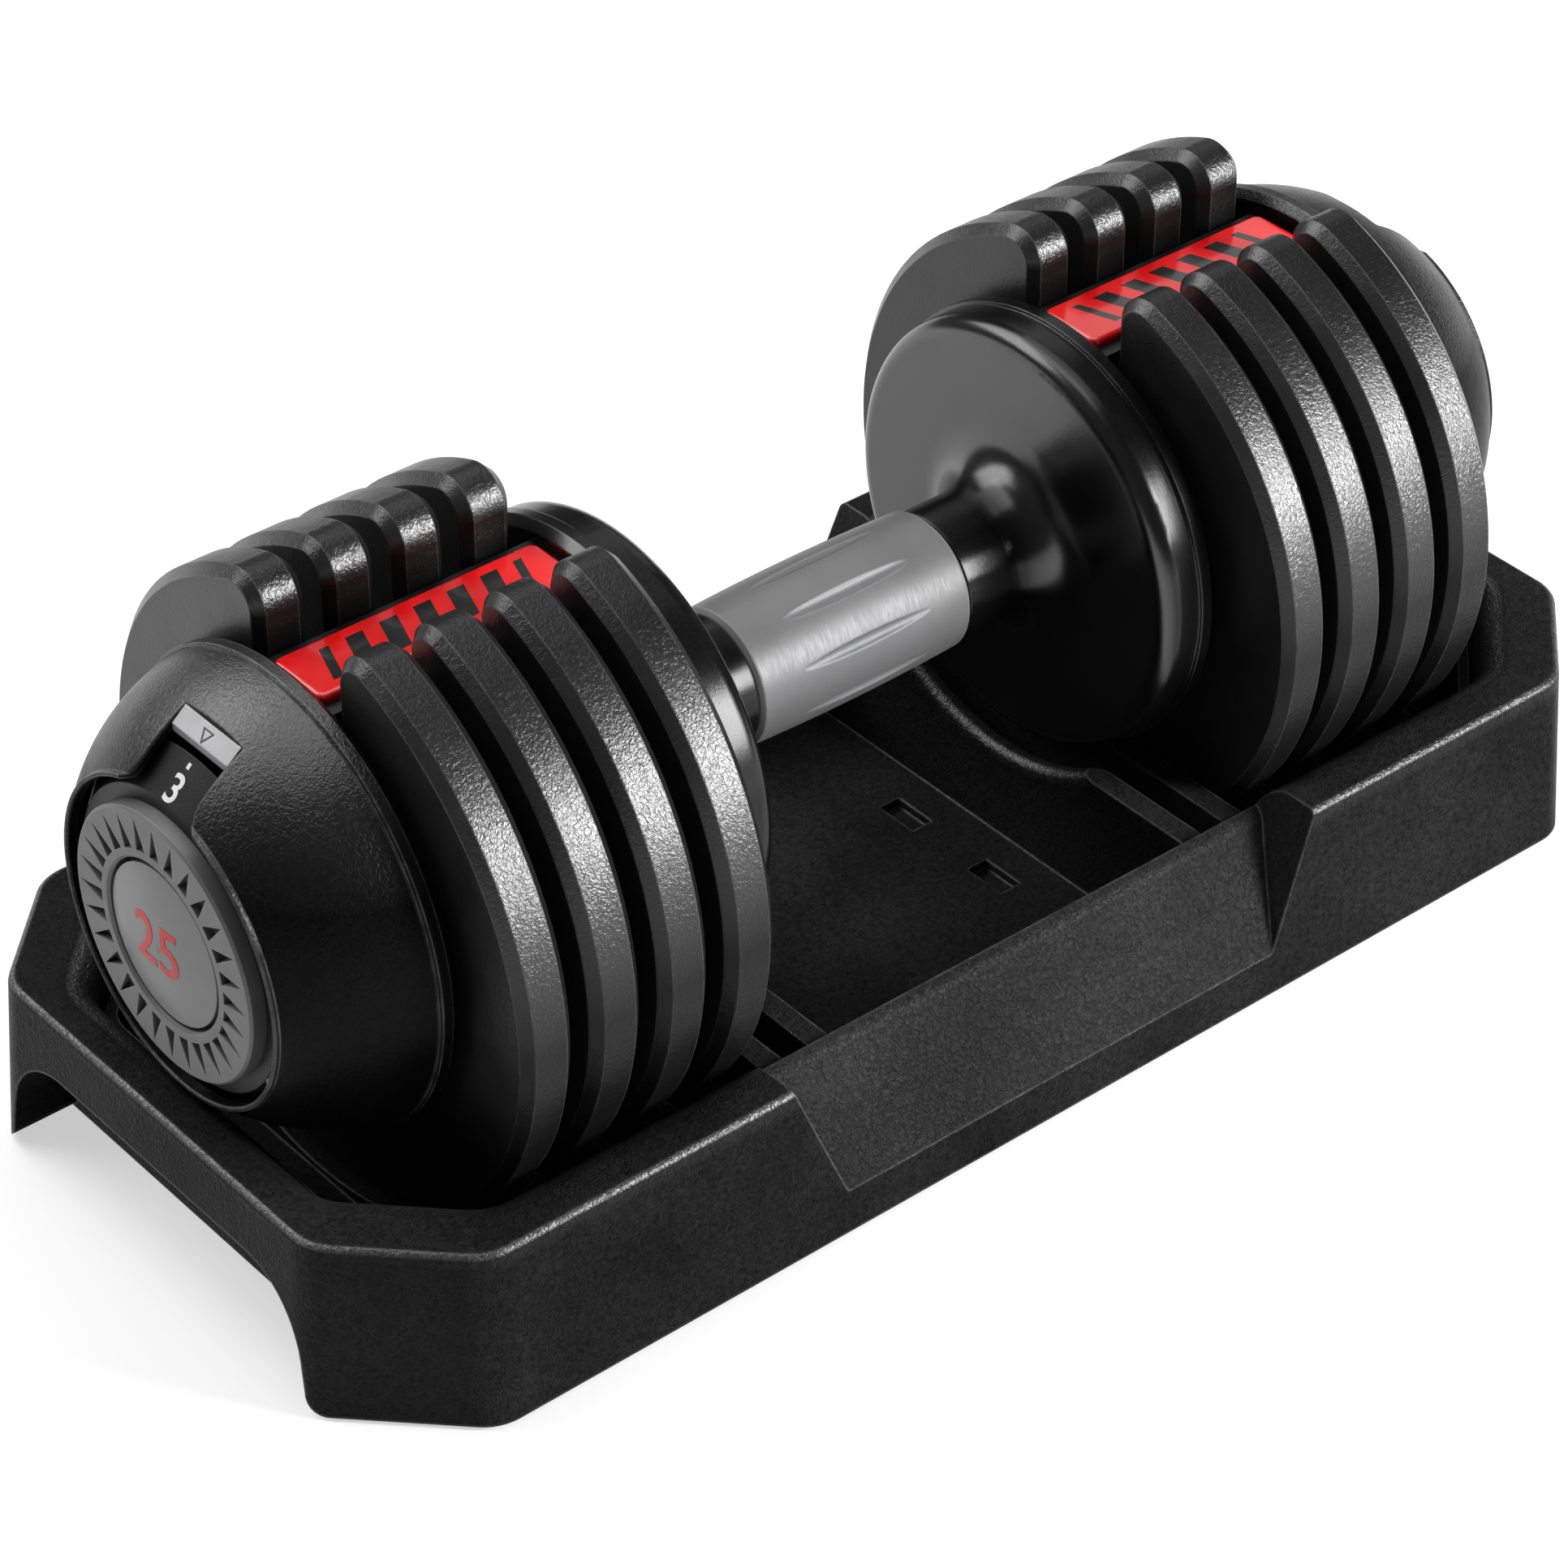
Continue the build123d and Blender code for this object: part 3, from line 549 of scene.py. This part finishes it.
button_grey = satin(
    "button_grey",
    tone=grey(0.20),
    roughness=0.34,
    metallic=0.0,
    patch_size=0.016,
    edge_highlight_tone=grey(0.36),
)
pointer_silver = satin(
    "pointer_silver",
    tone=grey(0.34),
    roughness=0.34,
    metallic=0.2,
    patch_size=0.012,
    edge_highlight_tone=grey(0.7),
)
selector_white = satin(
    "selector_white",
    tone=(0.66, 0.65, 0.61),
    roughness=0.48,
    metallic=0.0,
    patch_size=0.014,
    edge_highlight_tone=(0.8, 0.8, 0.76),
)
bush_brass = satin(
    "bush_brass",
    tone=(0.52, 0.36, 0.14),
    roughness=0.35,
    metallic=1.0,
    patch_size=0.014,
    edge_highlight_tone=(0.7, 0.55, 0.28),
)
bare_steel = satin(
    "bare_steel",
    tone=grey(0.48),
    roughness=0.31,
    metallic=1.0,
    patch_size=0.014,
    edge_highlight_tone=grey(0.7),
)

plates = [f"plate_{number}" for number in range(1, len(SETTINGS))]
selectors = [f"selector_disc_{number}" for number in range(1, len(SETTINGS))]
dress(both(*plates), plate_black())
dress(["tray"], tray_black)
dress(["tray_feet"], foot_rubber)
dress(both("end_cap", "end_plate"), cap_black)
dress(both("inner_disc"), disc_black)
dress(both("core_box"), box_black)
dress(both("dial_scale"), scale_black)
dress(both("label"), label_red())
dress(["grip"], grip_grey())
dress(both("dial_ring"), ring_grey)
dress(both("dial_button"), button_grey)
dress(both("pointer"), pointer_silver)
dress(both(*selectors), selector_white)
dress(both("inner_bush", "end_bush"), bush_brass)
dress(both("detent_wheel", "detent_spring"), bare_steel)
dress(["shaft", "cap_screws", "dial_screws"], bare_steel)


# Printed marks

def closed_mark(build):
    """Mesh of a thin closed solid from a function that fills a bmesh, cut finely enough to be wrapped."""
    shape = bmesh.new()
    build(shape)
    bmesh.ops.remove_doubles(shape, verts=shape.verts, dist=SAME_POINT)
    bmesh.ops.triangulate(shape, faces=shape.faces)
    bmesh.ops.subdivide_edges(shape, edges=shape.edges, cuts=PRINT_CUTS, use_grid_fill=True)
    bmesh.ops.recalc_face_normals(shape, faces=shape.faces)
    mesh = bpy.data.meshes.new("mark")
    shape.to_mesh(mesh)
    shape.free()
    return mesh


def number_mesh(words, size):
    """Raised plain numbers, centred on the origin."""
    curve = bpy.data.curves.new("numbers", "FONT")
    curve.body = words
    curve.size = size
    curve.extrude = PRINT_DEPTH / 2
    curve.offset = PRINT_WEIGHT
    curve.align_x = "CENTER"
    curve.align_y = "CENTER"
    carrier = bpy.data.objects.new("numbers", curve)
    bpy.context.scene.collection.objects.link(carrier)
    solid = bpy.data.meshes.new_from_object(carrier.evaluated_get(bpy.context.evaluated_depsgraph_get()))
    bpy.data.objects.remove(carrier)
    return closed_mark(lambda shape: shape.from_mesh(solid))


def sheet_mesh(points, faces):
    """Flat outline given a thickness, with walls along the edges that no two faces share."""

    def build(shape):
        low = [shape.verts.new((x, y, -PRINT_DEPTH / 2)) for x, y in points]
        high = [shape.verts.new((x, y, PRINT_DEPTH / 2)) for x, y in points]
        for face in faces:
            shape.faces.new([high[index] for index in face])
            shape.faces.new([low[index] for index in reversed(face)])
        edges = [edge for face in faces for edge in zip(face, face[1:] + face[:1])]
        for first, second in edges:
            if (second, first) not in edges:
                shape.faces.new([low[first], low[second], high[second], high[first]])

    return closed_mark(build)


def tick_mesh():
    x = TICK_WIDTH / 2
    y = TICK_LENGTH / 2
    return sheet_mesh([(-x, -y), (x, -y), (x, y), (-x, y)], [(0, 1, 2, 3)])


def triangle_mesh():
    """Outlined triangle whose tip points to the dial."""
    outer = POINTER_MARK_SIZE / 2
    inner = outer - 2 * POINTER_MARK_LINE
    points = []
    for reach in (outer, inner):
        for degrees in POINTER_MARK_CORNERS:
            angle = math.radians(degrees)
            points.append((reach * math.cos(angle), reach * math.sin(angle)))
    return sheet_mesh(points, [(0, 1, 4, 3), (1, 2, 5, 4), (2, 0, 3, 5)])


def print_mark(name, mesh, place, material, body):
    """Lays a flat mesh on a surface: place(u, v, w) gives the point for each of its corners."""
    for vertex in mesh.vertices:
        vertex.co = place(*vertex.co)
    mesh.materials.append(material)
    mark = bpy.data.objects.new(name, mesh)
    bpy.context.scene.collection.objects.link(mark)
    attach(mark, body)


def profile(node):
    """(|x|, distance from the handle axis) of each corner of a node."""
    corners = [vertex.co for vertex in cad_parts[node].data.vertices]
    return [(abs(c.x), math.hypot(c.y, c.z - AXIS_Z)) for c in corners]


def on_cone(side, shoulder, rim, degrees, share):
    """Mapping on to the dial's cone, share of the way from its shoulder to its rim."""
    run = Vector(rim) - Vector(shoulder)
    slope = run.normalized()
    normal = Vector((slope.y, -slope.x))

    def place(u, v, w):
        point = Vector(shoulder) + run * share + slope * v + normal * w
        angle = math.radians(degrees) - side * u / point.y
        return Vector((side * point.x, point.y * math.cos(angle), AXIS_Z + point.y * math.sin(angle)))

    return place


def on_button(side, apex, dome_radius):
    """Mapping on to the domed face of the dial's button."""

    def place(u, v, w):
        sink = dome_radius - math.sqrt(dome_radius**2 - u * u - v * v)
        return Vector((side * (apex + w - sink), side * u, AXIS_Z + v))

    return place


def on_pointer(side):
    """Mapping on to the sloping top of the pointer plate."""
    low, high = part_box("pointer_right")
    corners = [vertex.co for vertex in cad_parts["pointer_right"].data.vertices]
    inner = Vector((low.x, max(c.z for c in corners if c.x < low.x + ON_FACE)))
    outer = Vector((high.x, max(c.z for c in corners if c.x > high.x - ON_FACE)))
    slope = (inner - outer).normalized()
    normal = Vector((slope.y, -slope.x))

    def place(u, v, w):
        point = (inner + outer) / 2 + slope * v + normal * w
        return Vector((side * point.x, side * u, point.y))

    return place


def print_scale(side_name, side, material):
    """Numbers and ticks round the dial's cone."""
    points = profile(f"dial_scale_{side_name}")
    shoulder_x = max(x for x, radius in points)
    rim_radius = max(radius for x, radius in points)
    shoulder = (shoulder_x, max(radius for x, radius in points if x > shoulder_x - ON_FACE))
    rim = (max(x for x, radius in points if radius > rim_radius - ON_FACE), rim_radius)
    for index, words in enumerate(SETTINGS):
        degrees = FIRST_DEGREES - STEP_DEGREES * index
        number_place = on_cone(side, shoulder, rim, degrees, SCALE_TEXT_PLACE)
        tick_place = on_cone(side, shoulder, rim, degrees, TICK_PLACE)
        mesh = number_mesh(words, SCALE_TEXT_SIZE)
        print_mark(f"number_{words}_{side_name}", mesh, number_place, material, "rotor")
        print_mark(f"tick_{words}_{side_name}", tick_mesh(), tick_place, material, "rotor")


def print_button(side_name, side, material):
    """Highest setting on the dial's button."""
    points = profile(f"dial_button_{side_name}")
    apex = max(x for x, radius in points)
    button_radius = max(radius for x, radius in points)
    crown = apex - max(x for x, radius in points if radius > button_radius - ON_RIM)
    dome_radius = (button_radius**2 + crown**2) / (2 * crown)
    mesh = number_mesh(SETTINGS[-1], BUTTON_TEXT_SIZE)
    place = on_button(side, apex, dome_radius)
    print_mark(f"button_number_{side_name}", mesh, place, material, "rotor")


def print_pointer(side_name, side, material):
    """Triangle on the pointer plate."""
    place = on_pointer(side)
    print_mark(f"pointer_mark_{side_name}", triangle_mesh(), place, material, "core")


white_ink = ink("white_ink", (0.80, 0.80, 0.80))
red_ink = ink("red_ink", (0.62, 0.022, 0.020))
dark_ink = ink("dark_ink", (0.03, 0.03, 0.032))
for side_name, side in SIDES.items():
    print_scale(side_name, side, white_ink)
    print_button(side_name, side, red_ink)
    print_pointer(side_name, side, dark_ink)


# Studio

def direction(azimuth, elevation):
    """Unit vector towards a place round the dumbbell, with angles as for the camera."""
    around = math.radians(azimuth)
    up = math.radians(elevation)
    return Vector((math.sin(around) * math.cos(up), -math.cos(around) * math.cos(up), math.sin(up)))


def seen_rays(tree):
    """1 for rays that come from the camera, from gloss or through glass."""
    path = tree.nodes.new("ShaderNodeLightPath").outputs
    mirrored = calculate(tree, "MAXIMUM", path["Is Glossy Ray"], path["Is Transmission Ray"])
    return calculate(tree, "MAXIMUM", path["Is Camera Ray"], mirrored)


def floor_pale():
    """Pale floor: lit and shadowed as it is, and lifted towards white where it is seen, more so far out."""
    material, tree, shader = new_material("floor_pale")
    distance = measure(tree, "LENGTH", coordinates(tree))
    lift = spread(tree, distance, FLOOR_LIFT_NEAR, FLOOR_LIFT_FAR, FLOOR_NEAR, FLOOR_FAR)
    dark = grey(FLOOR_TONE)
    light = grey(FLOOR_TONE * FLOOR_PALE)
    feed_all(tree, shader, {
        "Base Color": patches(tree, scale=3.0, detail=2.0, dark=dark, light=light),
        "Roughness": FLOOR_ROUGHNESS,
        "Specular IOR Level": 0.0,
        "Emission Color": WHITE,
        "Emission Strength": product(tree, seen_rays(tree), lift),
    })
    return material


def add_floor():
    bpy.ops.mesh.primitive_circle_add(vertices=FLOOR_SIDES, radius=FLOOR_RADIUS, fill_type="NGON")
    floor = bpy.context.object
    floor.name = "floor"
    floor.data.materials.append(floor_pale())


def soft_box(name, azimuth, elevation, distance, width, height, radiance):
    """Area light that faces the dumbbell, as bright to look at as radiance says."""
    back = direction(azimuth, elevation)
    data = bpy.data.lights.new(name, "AREA")
    data.shape = "RECTANGLE"
    data.size = width
    data.size_y = height
    data.energy = radiance * math.pi * width * height
    lamp = bpy.data.objects.new(name, data)
    lamp.location = VIEW_TARGET + back * distance
    lamp.rotation_euler = back.to_track_quat("Z", "Y").to_euler()
    lamp.visible_camera = False
    bpy.context.scene.collection.objects.link(lamp)


def add_camera():
    """Camera at the photo's angle, moved a little across its own picture."""
    back = direction(VIEW_AZIMUTH, VIEW_ELEVATION)
    right = Vector((-back.y, back.x, 0)).normalized()
    up = back.cross(right)
    data = bpy.data.cameras.new("camera")
    data.lens = LENS_MM
    data.sensor_width = SENSOR_MM
    camera = bpy.data.objects.new("camera", data)
    camera.location = VIEW_TARGET + back * VIEW_DISTANCE + right * VIEW_RIGHT + up * VIEW_UP
    camera.rotation_euler = back.to_track_quat("Z", "Y").to_euler()
    bpy.context.scene.collection.objects.link(camera)
    bpy.context.scene.camera = camera


def add_world():
    """Plain dim surround, the same for every ray."""
    world = bpy.data.worlds.new("studio")
    world.use_nodes = True
    tree = world.node_tree
    feed_all(tree, tree.nodes["Background"], {"Color": WHITE, "Strength": WORLD_FILL})
    bpy.context.scene.world = world


add_floor()
for lamp in LAMPS:
    soft_box(*lamp)
add_world()
add_camera()
bpy.context.scene.view_settings.view_transform = "Standard"
